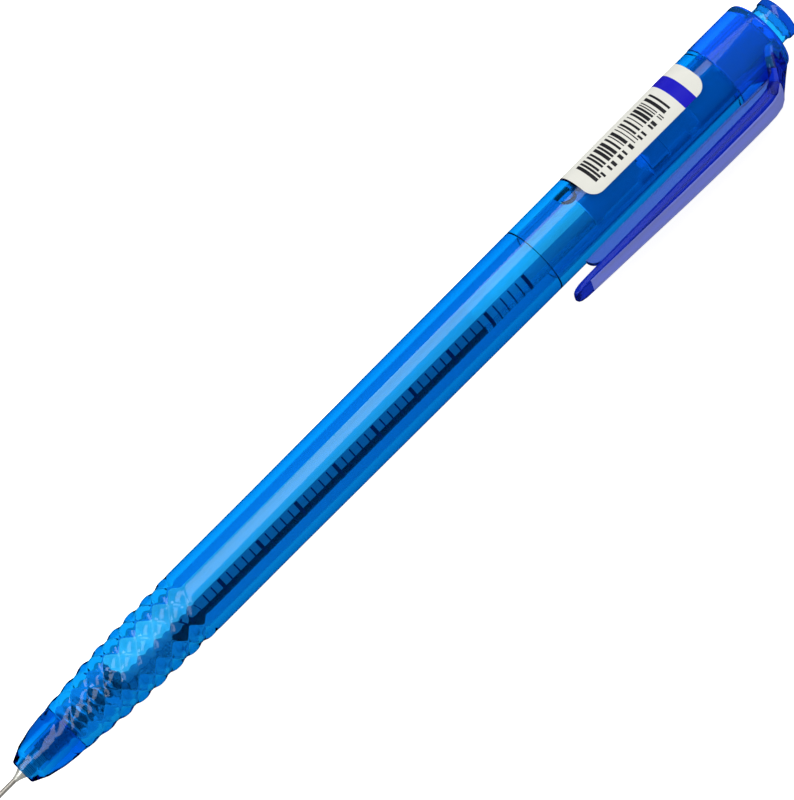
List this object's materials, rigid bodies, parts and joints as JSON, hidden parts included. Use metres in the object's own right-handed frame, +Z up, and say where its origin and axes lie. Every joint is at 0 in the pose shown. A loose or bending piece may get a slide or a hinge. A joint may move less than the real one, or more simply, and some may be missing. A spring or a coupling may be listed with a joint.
{
  "type": "retractable ballpoint pen",
  "caption": "Transparent blue click pen with a diamond-pattern grip, needle tip, pocket clip, visible refill and a sprung retract mechanism.",
  "frame": {"origin": "the writing point, on the pen's axis, with the point out", "axes": "+X along the pen from the writing point to the push button, -Y towards the pocket clip, +Z up with the pen lying down"},
  "size_m": [0.1458, 0.0147, 0.0108],
  "materials": {
    "barrel_plastic": "glossy transparent moulded plastic",
    "clip_plastic": "glossy transparent moulded plastic",
    "sleeve_plastic": "glossy translucent moulded plastic",
    "button_plastic": "glossy translucent moulded plastic",
    "mechanism_plastic": "natural moulded plastic",
    "refill_plastic": "milky translucent moulded plastic",
    "ink": "wet dark blue ink",
    "grease": "clear grease",
    "steel": "turned and drawn stainless steel",
    "ball_carbide": "polished",
    "label_paper": "printed coated paper"
  },
  "bodies": {
    "barrel_body": {"barrel": "barrel_plastic", "clip_cap": "clip_plastic", "guide_sleeve": "sleeve_plastic", "barcode_label": "label_paper", "return_spring": "steel"},
    "refill": {"needle_tube": "steel", "tip_holder": "steel", "refill_connector": "mechanism_plastic", "refill_tube": "refill_plastic", "ink_column": "ink", "ink_follower": "grease"},
    "writing_ball": {"tip_ball": "ball_carbide"},
    "rotor": {"cam_rotor": "mechanism_plastic"},
    "button": {"cam_plunger": "mechanism_plastic", "push_button": "button_plastic"}
  },
  "joints": [
    {"name": "refill_slide", "type": "slide", "parent": "barrel_body", "child": "refill", "axis": [1, 0, 0], "range_m": [-0.0012, 0.0055], "deforming": ["return_spring"]},
    {"name": "button_slide", "type": "slide", "parent": "barrel_body", "child": "button", "axis": [1, 0, 0], "range_m": [-0.0012, 0.0055]},
    {"name": "rotor_turn", "type": "hinge", "parent": "refill", "child": "rotor", "pos_m": [0.112, 0, 0], "axis": [1, 0, 0], "continuous": true},
    {"name": "ball_roll", "type": "hinge", "parent": "refill", "child": "writing_ball", "pos_m": [0.0003, 0, 0], "axis": [0, 1, 0], "continuous": true}
  ],
  "couplings": [
    {"joint": "button_slide", "follows": "refill_slide", "ratio": 1}
  ]
}
